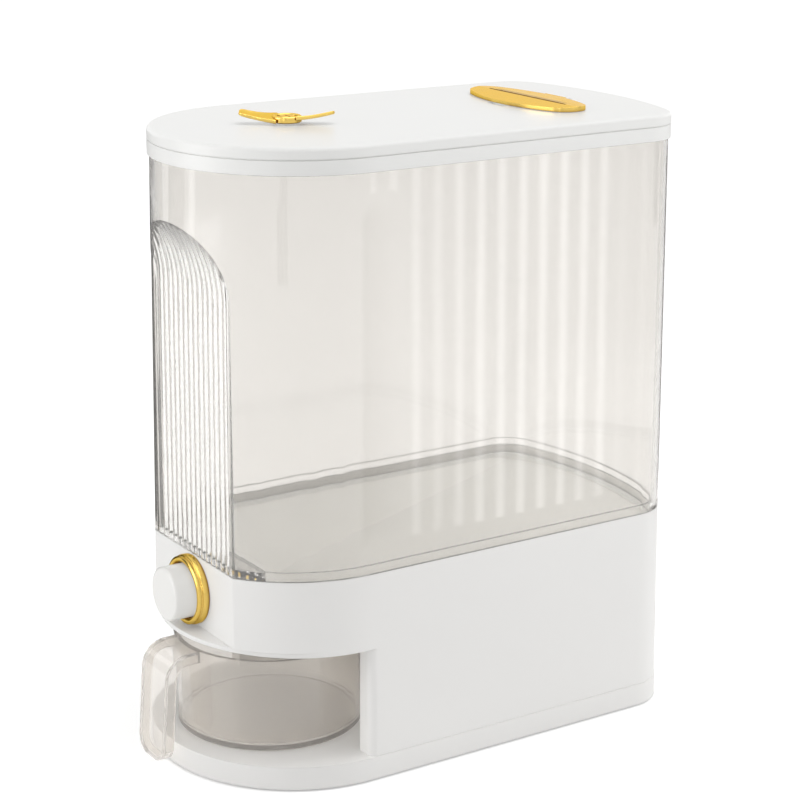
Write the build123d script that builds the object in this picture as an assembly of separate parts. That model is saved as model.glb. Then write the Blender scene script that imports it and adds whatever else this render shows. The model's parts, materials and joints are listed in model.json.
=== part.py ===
from build123d import *
import math
import os

os.makedirs("parts", exist_ok=True)

# Body plan: round front, straight long sides, shallow bulged back
body_width = 150.0
side_length = 180.0
back_depth = 30.0
back_corner = 22.0

# Heights, stacked from the table upwards
foot_proud = 1.0
base_plate_height = 12.6
bay_height = 60.8
nose_height = 39.0
hopper_height = 210.8
rim_height = 4.7
lid_frame_height = 8.1
lid_cover_height = 6.0

# How far each level stands out from the hopper's rim line
base_flare = 4.0
housing_bottom_flare = 3.6
housing_top_flare = 2.0
rim_step = 1.2
lid_proud = 1.2

# Walls and clearances
shell_wall = 2.6
clear_wall = 2.6
seat_gap = 0.3
slide_gap = 0.2
running_gap = 0.08
cover_skin = 2.4
lid_wall = 2.1

# Flat, fluted front of the hopper and the cove at its top
facet_inset = 11.6
facet_height = 144.0
cove_radius = 60.0
flute_pitch = 5.4
flute_count = 15
flute_depth = 0.8

# Lip round the nose over the cup bay
lip_front_depth = 74.5
lip_side_spare = 0.4

# Cup bay
bay_mouth_set_back = 0.5
bay_depth = 40.5
bay_post_width = 11.0
bay_edge_radius = 4.5
bay_inner_edge_radius = 2.0

# Hopper foot: thick bottom ring and the tongue that drops into the housing
foot_ring_height = 4.5
foot_ring_width = 4.6
tongue_wall = 1.7
tongue_depth = 4.5
tongue_set_back = 10.2

# Funnel
outlet_width = 42.0
outlet_length = 10.0
funnel_drop = 26.0
funnel_wall = 2.5
funnel_flange = 4.0
funnel_throat_top = 9.5
seal_thickness = 1.5
shelf_thickness = 2.5
shelf_width = 5.0
shelf_front_gap = 6.0
neck_overlap = 0.5
funnel_screw_inset = 3.5

# Gate and track
gate_thickness = 2.0
gate_side_lap = 5.0
gate_width = outlet_width + 2 * gate_side_lap
gate_tail = 10.0
gate_tab_thickness = 2.5
gate_tab_width = 18.0
track_floor = 1.7
track_rail = 2.7
track_lip = 2.3
track_end_spare = 3.0
track_front_reach = 20.0
track_ear_reach = 8.0
track_ear_half = 5.0
gate_seal_thickness = 0.9
chute_wall = 1.5
chute_drop = 4.6
chute_flange = 3.0
chute_flange_thickness = 1.2

# Button
button_height = 19.5
button_radius = 14.6
button_reach = 17.6
button_skirt = 16.5
button_wall = 2.4
button_travel = 11.0
button_rim_radius = 1.6
bezel_radius = 19.0
bezel_thickness = 7.0
bezel_sleeve = 1.3
button_side_gap = 0.4
holder_wall = 1.8
holder_flange = 1.5
holder_flange_thickness = 1.8
holder_depth = 7.8
holder_floor = 2.0
rod_radius = 3.5
rod_neck_radius = 2.5
socket_wall = 2.0
socket_depth = 8.4
clip_thickness = 1.0
clip_width = 2.2
spring_wire = 1.2
spring_radius = 7.6
spring_turns = 7

# Lid
gasket_height = 1.7
gasket_width = 3.0
frame_shelf = 1.6
frame_shelf_width = 6.1
lid_edge_radius = 2.2
lid_reveal_height = 0.6
lid_reveal_depth = 0.5
tray_wall = 2.0
tray_depth = 6.2

# Wing knob and air vent
knob_from_front = 71.0
knob_turn = 56.9
hub_radius = 7.8
hub_height = 3.6
hub_recess_radius = 5.0
hub_recess_depth = 1.4
knob_lift = 1.1
wing_reach = 25.4
wing_root_width = 15.0
wing_tip_width = 8.0
wing_thickness = 1.8
wing_rise = 8.5
wing_pitch = 8.0
wing_lift = 0.7
knob_shaft_radius = 3.0
washer_thickness = 0.8
shutter_radius = 16.0
shutter_thickness = 1.5
vent_hole_radius = 2.6
vent_circle = 10.0
vent_count = 3

# Moisture box and its flap
flap_length = 92.0
flap_width = 37.0
flap_end_radius = 12.0
flap_from_back = 60.0
flap_edge = 1.8
flap_ridge = 2.8
flap_crease_length = 72.0
flap_crease_width = 1.5
flap_crease_depth = 0.6
flap_lift = 0.3
well_length = 70.0
well_width = 24.0
well_depth = 9.0
box_wall = 1.2
box_flange = 2.5
box_flange_thickness = 0.8
box_slot_count = 7
hinge_knuckle_radius = 1.5
hinge_pin_radius = 0.7
hinge_knuckle_width = 19.0
hinge_lug_width = 3.0
hinge_set_back = 1.9
hinge_rise = 0.4
hinge_pocket_depth = 1.4
notch_width = 15.0
notch_length = 4.5
notch_depth = 1.5

# Measuring cup
cup_rim_inset = 22.5
cup_taper = 1.5
cup_height = 52.0
cup_wall = 2.2
cup_from_front = 58.0
cup_edge_radius = 1.6
handle_width = 28.0
handle_reach = 21.5
handle_thickness = 6.4
handle_skin = 2.2
handle_bend = 14.0
handle_splay = 3.0
handle_end_height = 6.0
handle_end_radius = 9.0
handle_mask_spare = 20.0

# Screws and feet
screw_radius = 1.5
screw_head_radius = 2.8
screw_head_height = 1.8
screw_slot = 0.8
screw_boss_radius = 4.5
screw_boss_height = 22.0
screw_boss_inset = 2.5
base_screw_length = 13.0
lid_screw_grip = 5.0
foot_radius = 7.0
foot_thickness = 2.6
foot_inset = 18.0
foot_pad_wall = 1.8
rib_thickness = 1.8

# Levels worked out from the sizes above
half_width = body_width / 2
half_side = side_length / 2
base_top = foot_proud + base_plate_height
bay_top = base_top + bay_height
nose_floor = bay_top + shell_wall
housing_top = nose_floor + nose_height
shoulder = housing_top + hopper_height
rim_top = shoulder + rim_height
frame_bottom = shoulder + seat_gap
frame_top = frame_bottom + lid_frame_height
lid_top = frame_top + lid_cover_height
facet_y = facet_inset - half_side - half_width
facet_inner_y = facet_y + shell_wall
cove_z = housing_top + facet_height
cup_y = cup_from_front - half_side - half_width
cup_rim_radius = half_width - cup_rim_inset
cup_foot_radius = cup_rim_radius - cup_taper
outlet_y = cup_y
axis_z = nose_floor + button_height


# Outline of the body at a given distance outside the rim line
def outline(offset):
    narrow = back_depth - back_corner
    spread = half_width - back_corner
    centre_drop = (spread**2 - narrow**2) / (2 * narrow)
    back_radius = back_depth + centre_drop + offset
    reach = math.hypot(spread, centre_drop)
    join = Vector(spread, centre_drop) * (back_radius / reach) + Vector(0, half_side - centre_drop)
    lean = math.atan2(centre_drop, spread) / 2
    corner = back_corner + offset
    bend = Vector(spread + corner * math.cos(lean), half_side + corner * math.sin(lean))
    side = half_width + offset
    edges = [
        Line((side, -half_side), (side, half_side)),
        ThreePointArc((side, half_side), (bend.X, bend.Y), (join.X, join.Y)),
        ThreePointArc((join.X, join.Y), (0, half_side + back_depth + offset), (-join.X, join.Y)),
        ThreePointArc((-join.X, join.Y), (-bend.X, bend.Y), (-side, half_side)),
        Line((-side, half_side), (-side, -half_side)),
        ThreePointArc((-side, -half_side), (0, -half_side - side), (side, -half_side)),
    ]
    return make_face(edges)


def back_line(x, offset):
    narrow = back_depth - back_corner
    spread = half_width - back_corner
    centre_drop = (spread**2 - narrow**2) / (2 * narrow)
    back_radius = back_depth + centre_drop + offset
    return half_side - centre_drop + math.sqrt(back_radius**2 - x**2)


def prism(offset, low, high):
    return Pos(0, 0, low) * extrude(outline(offset), high - low)


def tapered(low_offset, low, high_offset, high):
    return loft([Pos(0, 0, low) * outline(low_offset), Pos(0, 0, high) * outline(high_offset)], ruled=True)


def block(x_low, x_high, y_low, y_high, z_low, z_high):
    centre = ((x_low + x_high) / 2, (y_low + y_high) / 2, (z_low + z_high) / 2)
    return Pos(*centre) * Box(x_high - x_low, y_high - y_low, z_high - z_low)


def post(x, y, low, high, radius):
    return Pos(x, y, (low + high) / 2) * Cylinder(radius, high - low)


def rod_along_y(x, z, low, high, radius):
    return Pos(x, (low + high) / 2, z) * Rot(90, 0, 0) * Cylinder(radius, high - low)


def behind(y):
    big = 2 * (side_length + body_width)
    return block(-big, big, y, y + big, -big, big)


# Everything in front of a level, wide enough to clear the body
def front_of(y, low, high):
    big = side_length + body_width
    return block(-body_width, body_width, y - big, y, low, high)


def flare_at(z):
    share = (z - base_top) / (housing_top - base_top)
    return housing_bottom_flare + (housing_top_flare - housing_bottom_flare) * share


def hopper_offset(z):
    return housing_top_flare * (shoulder - z) / hopper_height


# Screw with a slotted pan head, standing on its shank
def screw(x, y, head_low, length, up):
    sign = 1 if up else -1
    head = post(x, y, head_low, head_low + screw_head_height, screw_head_radius)
    start = head_low + screw_head_height if up else head_low
    shank_low, shank_high = sorted((start, start + sign * length))
    slot_z = head_low if up else head_low + screw_head_height
    slot = Pos(x, y, slot_z) * Box(2 * screw_radius + screw_slot, screw_slot, screw_slot)
    return head + post(x, y, shank_low, shank_high, screw_radius) - slot


def save(shape, name):
    pieces = shape if isinstance(shape, list) else [shape]
    placed = [Pos(0, frame_shift, 0) * piece for piece in pieces]
    export_step(placed[0] if len(placed) == 1 else Compound(placed), "parts/" + name + ".step")


# The origin sits under the middle of the whole object, handle included
front_reach = half_side + half_width - cup_from_front + cup_rim_radius + handle_reach
back_reach = half_side + back_depth + base_flare
frame_shift = (front_reach - back_reach) / 2


# Tool that cuts the flat fluted front; the cove carries the flutes out to the round wall
def flute_profile():
    half = flute_count * flute_pitch / 2
    valley = facet_y + flute_depth
    far = facet_y - cove_radius * 0.6
    edges = [Line((-body_width / 2, facet_y), (-half, facet_y)), Line((-half, facet_y), (-half, valley))]
    for i in range(flute_count):
        left = -half + i * flute_pitch
        crest = (left + flute_pitch / 2, facet_y)
        edges.append(ThreePointArc((left, valley), crest, (left + flute_pitch, valley)))
    edges.append(Line((half, valley), (half, facet_y)))
    edges.append(Line((half, facet_y), (body_width / 2, facet_y)))
    edges.append(Polyline((body_width / 2, facet_y), (body_width / 2, far), (-body_width / 2, far)))
    edges.append(Line((-body_width / 2, far), (-body_width / 2, facet_y)))
    return make_face(edges)


def coved(profile, low):
    turn = Axis((0, facet_y - cove_radius, cove_z), (1, 0, 0))
    straight = Pos(0, 0, low) * extrude(profile, cove_z - low)
    return straight + revolve(Pos(0, 0, cove_z) * profile, turn, 50)


def plain_profile(y):
    far = facet_y - cove_radius * 0.6
    return make_face(Polyline((-body_width / 2, y), (body_width / 2, y), (body_width / 2, far),
                              (-body_width / 2, far), (-body_width / 2, y)))


# Base plate: skirted tray with ribs, screw pillars and foot pads underneath
boss_x = half_width - screw_boss_inset
boss_points = [(side * boss_x, y) for y in (-half_side * 0.55, half_side * 0.55) for side in (-1, 1)]
back_boss_y = back_line(half_width * 0.5, -screw_boss_inset)
boss_points += [(side * half_width * 0.5, back_boss_y) for side in (-1, 1)]
foot_x = half_width - foot_inset
foot_points = [(side * foot_x, y) for y in (-half_side, 0.0, half_side) for side in (-1, 1)]


def base_plate():
    skin = cover_skin
    plate = prism(base_flare, foot_proud, base_top)
    plate -= prism(base_flare - shell_wall, foot_proud, base_top - skin)
    rib_height = base_top - skin - foot_proud
    for i in range(-2, 3):
        y = i * half_side / 2
        slice_at_y = block(-body_width, body_width, y - rib_thickness / 2, y + rib_thickness / 2,
                           foot_proud + 1, foot_proud + rib_height + skin / 2)
        plate += prism(base_flare - 1, foot_proud + 1, base_top - skin / 2) & slice_at_y
    for x, y in boss_points:
        plate += post(x, y, foot_proud + 1, base_top - skin / 2, screw_boss_radius)
    for x, y in foot_points:
        plate += post(x, y, foot_proud, base_top - skin / 2, foot_radius + foot_pad_wall)
        plate -= post(x, y, 0, foot_thickness, foot_radius + running_gap)
    head_seat = base_top - skin - screw_head_height
    for x, y in boss_points:
        plate -= post(x, y, 0, head_seat + screw_head_height, screw_head_radius + seat_gap)
        plate -= post(x, y, head_seat, base_top + 1, screw_radius + slide_gap)
    return plate


def rubber_feet():
    return [fillet(post(x, y, 0, foot_thickness, foot_radius).edges().group_by(Axis.Z)[0], 0.6)
            for x, y in foot_points]


def base_screws():
    head_low = base_top - cover_skin - screw_head_height
    return [screw(x, y, head_low, base_screw_length, True) for x, y in boss_points]


# Cup bay: open to the front and both sides, its back hollowed round the cup between two posts
bay_mouth_y = -half_side - bay_mouth_set_back
bay_mouth_x = half_width + (housing_bottom_flare + housing_top_flare) / 2 - bay_post_width
bay_radius = (bay_mouth_x**2 + bay_depth**2) / (2 * bay_depth)
bay_centre_y = bay_mouth_y + bay_depth - bay_radius


def bay_space(spare, low, high):
    round_part = post(0, bay_centre_y, low, high, bay_radius + spare)
    return round_part + front_of(bay_mouth_y + spare, low, high)


# Plan of the bay at a level whose wall stands at the given half width; the posts' edges are rounded
def bay_profile(side):
    r, small = bay_edge_radius, bay_inner_edge_radius
    y = bay_mouth_y
    outer_x = side - r
    outer_bend = (outer_x + r * math.sqrt(0.5), y + r - r * math.sqrt(0.5))
    inner_x = math.sqrt((bay_radius + small)**2 - (y + small - bay_centre_y)**2)
    turn = math.atan2(bay_centre_y - y - small, -inner_x)
    half_turn = (turn - math.pi / 2) / 2
    bend = (inner_x + small * math.cos(half_turn), y + small + small * math.sin(half_turn))
    join = (inner_x + small * math.cos(turn), y + small + small * math.sin(turn))
    far = side_length + body_width
    edges = [
        ThreePointArc((side, y + r), outer_bend, (outer_x, y)),
        Line((outer_x, y), (inner_x, y)),
        ThreePointArc((inner_x, y), bend, join),
        ThreePointArc(join, (0, bay_centre_y + bay_radius), (-join[0], join[1])),
        ThreePointArc((-join[0], join[1]), (-bend[0], bend[1]), (-inner_x, y)),
        Line((-inner_x, y), (-outer_x, y)),
        ThreePointArc((-outer_x, y), (-outer_bend[0], outer_bend[1]), (-side, y + r)),
        Polyline((-side, y + r), (-far, y + r), (-far, -far), (far, -far), (far, y + r), (side, y + r)),
    ]
    return make_face(edges)


def bay_tool():
    low = base_top - 1
    levels = [Pos(0, 0, z) * bay_profile(half_width + flare_at(z)) for z in (low, bay_top)]
    return loft(levels, ruled=True)


funnel_top = housing_top - tongue_depth - seal_thickness
funnel_plate_low = funnel_top - funnel_wall
outlet_top = funnel_top - funnel_drop
neck_bottom = outlet_top - funnel_wall + neck_overlap
shelf_low = funnel_plate_low - shelf_thickness
tongue_front = facet_inner_y + tongue_set_back
tongue_low = housing_top - tongue_depth
funnel_front = tongue_front + slide_gap
funnel_screw_x = half_width - funnel_screw_inset
funnel_screw_points = [(side * funnel_screw_x, y) for y in (-half_side * 0.8, 0.0, half_side * 0.8)
                       for side in (-1, 1)]

gate_floor = nose_floor + track_floor + slide_gap
gate_top = gate_floor + gate_thickness
track_half = gate_width / 2 + seat_gap + track_rail
track_screw_x = track_half + track_ear_reach / 2
track_front = outlet_y - outlet_length / 2 - button_travel - track_front_reach
track_back = outlet_y + outlet_length / 2 + gate_tail + button_travel + track_end_spare
track_screw_points = [(side * track_screw_x, y) for side in (-1, 1)
                      for y in (track_front + track_ear_reach, track_back - track_ear_reach)]
chute_x = outlet_width / 2 + slide_gap + chute_wall
chute_y = outlet_length / 2 + slide_gap + chute_wall


def lower_housing():
    outer = tapered(housing_bottom_flare, base_top, housing_top_flare, housing_top)
    outer -= front_of(facet_y, nose_floor, housing_top + 1)
    lip_x = half_width + flare_at(bay_top) + lip_side_spare
    lip = Pos(0, -half_side, bay_top) * extrude(Ellipse(lip_x, lip_front_depth), shell_wall)
    outer -= front_of(-half_side, bay_top, nose_floor) - lip
    below, above = base_top - 1, housing_top + 1
    inner = tapered(flare_at(below) - shell_wall, below, flare_at(above) - shell_wall, above)
    inner -= front_of(facet_inner_y, nose_floor - 1, above + 1)
    inner -= bay_space(shell_wall, below, nose_floor)
    shelf = prism(flare_at(shelf_low) - shell_wall / 2, shelf_low, funnel_plate_low)
    shelf -= prism(-seat_gap - shelf_width, shelf_low - 1, funnel_plate_low + 1)
    shelf &= behind(funnel_front + shelf_front_gap)
    solid = outer - inner - bay_tool() + shelf
    for x, y in boss_points:
        pillar = post(x, y, base_top, base_top + screw_boss_height, screw_boss_radius)
        solid += pillar & prism(flare_at(base_top) - 1, base_top, housing_top)
        solid -= post(x, y, base_top - 1, base_top + base_screw_length, screw_radius + running_gap)
    for x, y in funnel_screw_points:
        solid -= post(x, y, shelf_low - 1, funnel_plate_low + 1, screw_radius + slide_gap)
    for x, y in track_screw_points:
        solid -= post(x, y, bay_top + 0.4, nose_floor + 1, screw_radius + running_gap)
    solid -= rod_along_y(0, axis_z, facet_y - 1, facet_inner_y + 1, button_radius + button_side_gap
                         + bezel_sleeve + slide_gap)
    solid -= block(-chute_x - slide_gap, chute_x + slide_gap, outlet_y - chute_y - slide_gap,
                   outlet_y + chute_y + slide_gap, bay_top - 1, nose_floor + 1)
    return solid


# Funnel: flange plate, long shallow slope from the back, steep front, oblong outlet
def frustum(grow, low, high, top_x, top_front, top_back):
    bottom = Pos(0, outlet_y, low) * Rectangle(outlet_width + 2 * grow, outlet_length + 2 * grow)
    centre = (top_front + top_back) / 2
    top = Pos(0, centre, high) * Rectangle(2 * top_x, top_back - top_front)
    return loft([bottom, top], ruled=True)


def funnel():
    throat_front = outlet_y - outlet_length / 2 - funnel_throat_top
    back = half_side + back_depth
    wide = half_width - funnel_flange
    plate = prism(-rim_step + slide_gap, funnel_plate_low, funnel_top) & behind(funnel_front)
    body = plate + (frustum(funnel_wall, neck_bottom, funnel_plate_low, wide, throat_front - funnel_wall, back)
                    & prism(-rim_step - funnel_flange / 2, neck_bottom, funnel_top))
    inside = frustum(0, outlet_top, funnel_top, wide, throat_front, back)
    inside &= prism(-rim_step - funnel_flange, outlet_top, funnel_top + 1)
    body -= inside
    body -= block(-outlet_width / 2, outlet_width / 2, outlet_y - outlet_length / 2,
                  outlet_y + outlet_length / 2, neck_bottom - 1, outlet_top + 1)
    for x, y in funnel_screw_points:
        body -= post(x, y, shelf_low - 1, funnel_top - 0.5, screw_radius + slide_gap)
    return body


def funnel_screws():
    length = funnel_top - 0.8 - shelf_low
    return [screw(x, y, shelf_low - screw_head_height, length, True) for x, y in funnel_screw_points]


def hopper_seal():
    ring = prism(-rim_step + slide_gap, funnel_top, tongue_low) & behind(funnel_front)
    return ring - (prism(-rim_step - funnel_flange, funnel_top - 1, tongue_low + 1)
                   & behind(funnel_front + funnel_flange))


# Clear hopper
def hopper():
    body = tapered(housing_top_flare, housing_top, 0, shoulder)
    body += prism(-rim_step, shoulder, rim_top)
    body -= coved(flute_profile(), housing_top - 1)
    low = housing_top + foot_ring_height
    hollow = tapered(hopper_offset(low) - clear_wall, low, -clear_wall, shoulder)
    hollow += prism(-clear_wall, shoulder, rim_top + 1)
    hollow -= coved(plain_profile(facet_y + clear_wall), housing_top - 1)
    body -= hollow
    mouth_front = tongue_front + tongue_wall
    mouth = prism(housing_top_flare - foot_ring_width, tongue_low - 1, low + 1) & behind(mouth_front)
    tongue = prism(-seat_gap - shell_wall + housing_top_flare, tongue_low, housing_top) & behind(tongue_front)
    return body + tongue - mouth


# Gate, its track and the chute over the cup
def gate_slide():
    window_y = outlet_y - button_travel
    front = gate_tab_y
    back = outlet_y + outlet_length / 2 + gate_tail
    plate = block(-gate_width / 2, gate_width / 2, front, back, gate_floor, gate_top)
    plate -= block(-outlet_width / 2, outlet_width / 2, window_y - outlet_length / 2,
                   window_y + outlet_length / 2, gate_floor - 1, gate_top + 1)
    tab = block(-gate_tab_width / 2, gate_tab_width / 2, front, front + gate_tab_thickness,
                gate_floor, axis_z + gate_tab_width / 3)
    web = block(-1, 1, front, front + gate_tab_thickness + 2.4, gate_floor, gate_top + 5)
    plate += tab + web
    return plate - rod_along_y(0, axis_z, front - 1, front + gate_tab_thickness + 1,
                               rod_neck_radius + running_gap)


holder_back = facet_inner_y + holder_depth + holder_floor
gate_tab_y = holder_back + 1.0


def gate_track():
    rail_top = gate_top + slide_gap + gate_seal_thickness
    edge = gate_width / 2 + seat_gap
    floor = block(-track_half, track_half, track_front, track_back, nose_floor, nose_floor + track_floor)
    for side in (-1, 1):
        x_low, x_high = sorted((side * edge, side * track_half))
        floor += block(x_low, x_high, track_front, track_back, nose_floor, rail_top)
        lip_low, lip_high = sorted((side * (edge - track_lip), side * edge))
        floor += block(lip_low, lip_high, track_front, track_back, gate_top + slide_gap, rail_top)
    for x, y in track_screw_points:
        side = math.copysign(1, x)
        ear_low, ear_high = sorted((side * (track_half - 1), side * (track_half + track_ear_reach)))
        floor += block(ear_low, ear_high, y - track_ear_half, y + track_ear_half,
                       nose_floor, nose_floor + track_floor)
        floor -= post(x, y, nose_floor - 1, nose_floor + track_floor + 1, screw_radius + slide_gap)
    return floor - block(-chute_x - slide_gap, chute_x + slide_gap, outlet_y - chute_y - slide_gap,
                         outlet_y + chute_y + slide_gap, nose_floor - 1, nose_floor + track_floor + 1)


def track_screws():
    length = track_floor + shell_wall - 0.6
    return [screw(x, y, nose_floor + track_floor, length, False) for x, y in track_screw_points]


def outlet_chute():
    top = nose_floor + track_floor
    tube = block(-chute_x, chute_x, outlet_y - chute_y, outlet_y + chute_y, bay_top - chute_drop, top)
    tube += block(-chute_x - chute_flange, chute_x + chute_flange, outlet_y - chute_y - chute_flange,
                  outlet_y + chute_y + chute_flange, bay_top - chute_flange_thickness, bay_top)
    return tube - block(-chute_x + chute_wall, chute_x - chute_wall, outlet_y - chute_y + chute_wall,
                        outlet_y + chute_y - chute_wall, bay_top - chute_drop - 1, top + 1)


def gate_seal():
    low = gate_top + slide_gap
    grow = funnel_wall - 0.4
    pad = block(-outlet_width / 2 - grow, outlet_width / 2 + grow, outlet_y - outlet_length / 2 - grow,
                outlet_y + outlet_length / 2 + grow, low, neck_bottom)
    return pad - block(-outlet_width / 2, outlet_width / 2, outlet_y - outlet_length / 2,
                       outlet_y + outlet_length / 2, low - 1, neck_bottom + 1)


# Push button with its gold bezel, holder, rod and spring
cap_face = facet_y - button_reach
cap_inner = cap_face + button_wall


def button_cap():
    body = rod_along_y(0, axis_z, cap_face, cap_face + button_skirt, button_radius)
    body = fillet(body.edges().group_by(Axis.Y)[0], button_rim_radius)
    body -= rod_along_y(0, axis_z, cap_inner, cap_face + button_skirt + 1, button_radius - button_wall * 0.8)
    body += rod_along_y(0, axis_z, cap_inner - 0.5, cap_inner + socket_depth, rod_radius + socket_wall)
    return body - rod_along_y(0, axis_z, cap_inner, cap_inner + socket_depth + 1, rod_radius + running_gap)


def push_rod():
    shoulder_y = gate_tab_y - slide_gap / 2
    end = gate_tab_y + gate_tab_thickness + clip_thickness + 1.6
    body = rod_along_y(0, axis_z, cap_inner + slide_gap, shoulder_y, rod_radius)
    body += rod_along_y(0, axis_z, shoulder_y - 1, end, rod_neck_radius)
    groove = rod_along_y(0, axis_z, clip_y, clip_y + clip_thickness, rod_neck_radius + 1)
    groove -= rod_along_y(0, axis_z, clip_y - 1, clip_y + clip_thickness + 1, rod_neck_radius - 0.5)
    return body - groove


clip_y = gate_tab_y + gate_tab_thickness + slide_gap / 2


def rod_clip():
    ring = rod_along_y(0, axis_z, clip_y + 0.05, clip_y + clip_thickness - 0.05, rod_neck_radius + clip_width)
    ring -= rod_along_y(0, axis_z, clip_y - 1, clip_y + clip_thickness + 1, rod_neck_radius - 0.45)
    gap = block(-rod_neck_radius * 0.6, rod_neck_radius * 0.6, clip_y - 1, clip_y + clip_thickness + 1,
                axis_z - rod_neck_radius - clip_width - 1, axis_z)
    return ring - gap


def button_bezel():
    inner = button_radius + button_side_gap
    ring = rod_along_y(0, axis_z, facet_y - bezel_thickness, facet_y, bezel_radius)
    ring -= rod_along_y(0, axis_z, facet_y - bezel_thickness - 1, facet_y + 1, inner)
    ring = fillet(ring.edges().group_by(Axis.Y)[0], (bezel_radius - inner) * 0.44)
    sleeve = rod_along_y(0, axis_z, facet_y - 1, facet_inner_y - slide_gap, inner + bezel_sleeve)
    return ring + (sleeve - rod_along_y(0, axis_z, facet_y - 2, facet_inner_y + 1, inner))


def button_holder():
    inner = button_radius + button_side_gap
    outer = inner + holder_wall
    body = rod_along_y(0, axis_z, facet_inner_y, holder_back, outer)
    body += rod_along_y(0, axis_z, facet_inner_y, facet_inner_y + holder_flange_thickness,
                        outer + holder_flange)
    body -= rod_along_y(0, axis_z, facet_inner_y - 1, facet_inner_y + holder_depth, inner)
    return body - rod_along_y(0, axis_z, facet_inner_y, holder_back + 1, rod_radius + running_gap)


# Compression spring: one unbroken wire whose quarter turns are arcs through points of the helix
def return_spring():
    seat = facet_inner_y + holder_depth
    start = cap_inner + spring_wire / 2 + seat_gap
    length = seat - seat_gap - spring_wire / 2 - start
    steps = spring_turns * 4

    def point(turn):
        a = 2 * math.pi * turn
        return (spring_radius * math.cos(a), start + length * turn / spring_turns,
                axis_z + spring_radius * math.sin(a))

    arcs = [ThreePointArc(point(i / 4), point((i + 0.5) / 4), point((i + 1) / 4)) for i in range(steps)]
    path = Wire(arcs)
    section = Plane(origin=path @ 0, z_dir=path % 0) * Circle(spring_wire / 2)
    points = [Vector(*point(i / 16)) for i in range(spring_turns * 16)]
    least = min((p - q).length for i, p in enumerate(points) for q in points[i + 10:])
    print("spring: least gap between turns", round(least - spring_wire, 2), "mm")
    return sweep(section, path)


# Lid: cover, frame that wraps the rim, gasket and inner tray
gasket_top = frame_top - frame_shelf
tray_low = frame_top - tray_depth
tray_edge = -rim_step + seat_gap - frame_shelf_width - seat_gap
knob_y = knob_from_front - half_side - half_width
flap_y = half_side + back_depth - flap_from_back
hinge_y = flap_y + flap_width / 2 + hinge_set_back
hinge_z = lid_top + hinge_rise
well_low = lid_top - well_depth
lid_boss_points = [(side * half_width * 0.78, y) for y in (-half_side, 0.0, half_side) for side in (-1, 1)]


# Round bar on the flap's hinge line
def rod_along_x(x, radius, length):
    return Pos(x, hinge_y, hinge_z) * Rot(0, 90, 0) * Cylinder(radius, length)


def oval(length, width, low, high, y):
    return Pos(0, y, low) * extrude(Ellipse(length / 2, width / 2), high - low)


# Oval of four arcs: two round ends and two long, nearly flat sides
def long_oval(low, high):
    half_l, half_w, end = flap_length / 2, flap_width / 2, flap_end_radius
    side_radius = ((half_l - end)**2 + half_w**2 - end**2) / (2 * (half_w - end))
    share = end / (side_radius - end)
    x = (half_l - end) * (1 + share)
    y = (side_radius - half_w) * share
    edges = [
        ThreePointArc((x, -y), (half_l, 0), (x, y)),
        ThreePointArc((x, y), (0, half_w), (-x, y)),
        ThreePointArc((-x, y), (-half_l, 0), (-x, -y)),
        ThreePointArc((-x, -y), (0, -half_w), (x, -y)),
    ]
    return Pos(0, flap_y, low) * extrude(make_face(edges), high - low)


def lid_frame():
    ring = prism(lid_proud, frame_bottom, frame_top - lid_reveal_height)
    ring += prism(lid_proud - lid_reveal_depth, frame_top - lid_reveal_height, frame_top)
    ring -= prism(lid_proud - lid_wall, frame_bottom - 1, gasket_top)
    return ring - prism(tray_edge + seat_gap, gasket_top - 1, frame_top + 1)


def lid_gasket():
    high = gasket_top
    low = high - gasket_height
    return prism(-rim_step, low, high) - prism(-rim_step - gasket_width, low - 1, high + 1)


def lid_cover():
    body = prism(lid_proud, frame_top, lid_top)
    body = fillet(body.edges().group_by(Axis.Z)[-1], lid_edge_radius)
    body -= prism(tray_edge + seat_gap + 1.2, frame_top - 1, lid_top - cover_skin)
    for x, y in lid_boss_points:
        body += post(x, y, tray_low + tray_wall, lid_top - cover_skin / 2, screw_boss_radius * 0.8)
        body -= post(x, y, tray_low, lid_top - cover_skin, screw_radius + running_gap)
    body += post(0, knob_y, frame_top, lid_top - cover_skin / 2, knob_shaft_radius + 3)
    body -= post(0, knob_y, frame_top - 1, lid_top + 1, knob_shaft_radius + running_gap)
    body += oval(well_length + 4, well_width + 4, frame_top - 1, lid_top - cover_skin / 2, flap_y)
    body -= oval(well_length, well_width, frame_top - 2, lid_top + 1, flap_y)
    body -= oval(well_length + 2 * box_flange + seat_gap, well_width + 2 * box_flange + seat_gap,
                 lid_top - box_flange_thickness, lid_top + 1, flap_y)
    notch_y = flap_y - flap_width / 2
    body -= block(-notch_width / 2, notch_width / 2, notch_y - notch_length * 0.8,
                  notch_y + notch_length * 0.2, lid_top - notch_depth, lid_top + 1)
    pocket_half = hinge_knuckle_width / 2 + seat_gap
    body -= block(-pocket_half, pocket_half, hinge_y - hinge_knuckle_radius - seat_gap,
                  hinge_y + hinge_knuckle_radius + seat_gap, lid_top - hinge_pocket_depth, lid_top + 1)
    for side in (-1, 1):
        near = side * pocket_half
        far = near + side * hinge_lug_width
        low, high = sorted((near, far))
        lug = rod_along_x((low + high) / 2, hinge_knuckle_radius, high - low)
        foot = block(low, high, hinge_y - hinge_knuckle_radius, hinge_y + hinge_knuckle_radius,
                     lid_top - hinge_pocket_depth, hinge_z)
        body += lug + foot
    return body - rod_along_x(0, hinge_pin_radius + running_gap, body_width / 3)


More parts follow.
